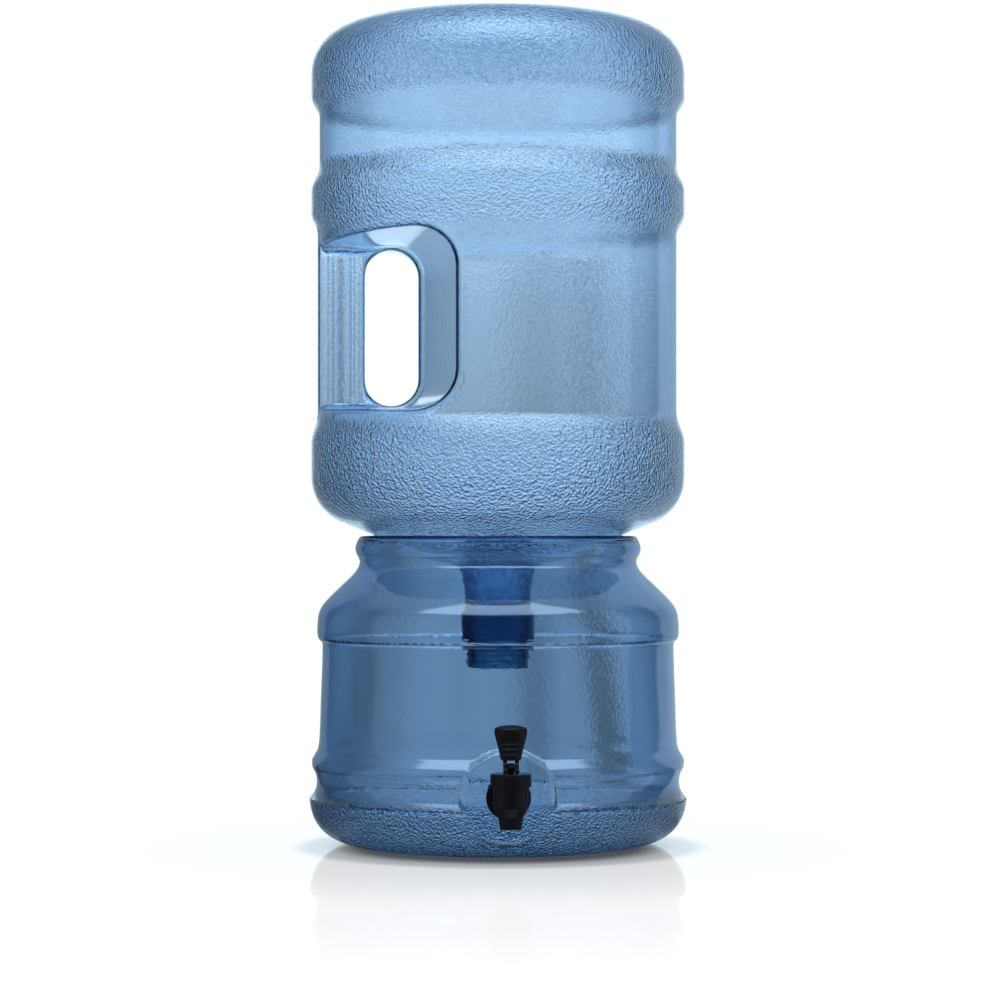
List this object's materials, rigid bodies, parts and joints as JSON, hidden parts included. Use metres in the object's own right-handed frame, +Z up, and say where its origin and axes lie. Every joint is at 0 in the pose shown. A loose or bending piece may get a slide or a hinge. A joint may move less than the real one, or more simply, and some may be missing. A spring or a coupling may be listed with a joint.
{
  "type": "water jug on dispenser base",
  "caption": "Large blue handled water jug standing neck down in a matching dispenser base with a black self-closing lever spigot.",
  "frame": {"origin": "bottom centre of the object's bounding box, on the surface that the base stands on", "axes": "+Z up along the jug's axis, +X to the right with the jug's handle at -X, the spigot at -Y"},
  "size_m": [0.2768, 0.3204, 0.602],
  "materials": {
    "jug_polycarbonate": "clear light blue, gloss, with pebbled bands",
    "base_polycarbonate": "clear blue, gloss, pebbled round the foot",
    "spigot_black": "black, semi-gloss",
    "stem_black": "black, satin",
    "seat_silicone": "soft, matt, translucent grey",
    "washer_rubber": "matt black",
    "stainless_steel": "bright"
  },
  "bodies": {
    "base": {"dispenser_base": "base_polycarbonate", "spigot_body": "spigot_black", "spigot_bonnet": "spigot_black", "outer_washer": "washer_rubber", "inner_washer": "washer_rubber", "shank_nut": "spigot_black"},
    "jug": {"water_jug": "jug_polycarbonate"},
    "valve": {"valve_stem": "stem_black", "seat_cup": "seat_silicone", "spring_washer": "stainless_steel", "valve_spring": "stainless_steel"},
    "lever": {"spigot_lever": "spigot_black", "lever_pin": "stainless_steel"}
  },
  "joints": [
    {"name": "jug_lift", "type": "slide", "parent": "base", "child": "jug", "axis": [0, 0, 1], "range_m": [0, 0.15]},
    {"name": "stem_lift", "type": "slide", "parent": "base", "child": "valve", "axis": [0, 0, 1], "range_m": [0, 0.0039], "stiffness_N_per_m": 1000, "springref_m": -0.006, "deforming": ["valve_spring"]},
    {"name": "lever_tilt", "type": "hinge", "parent": "valve", "child": "lever", "pos_m": [0, -0.1462, 0.0685], "axis": [1, 0, 0], "range_deg": [0, 45]}
  ],
  "couplings": [
    {"joint": "lever_tilt", "follows": "stem_lift", "rad_per_m": 200}
  ]
}
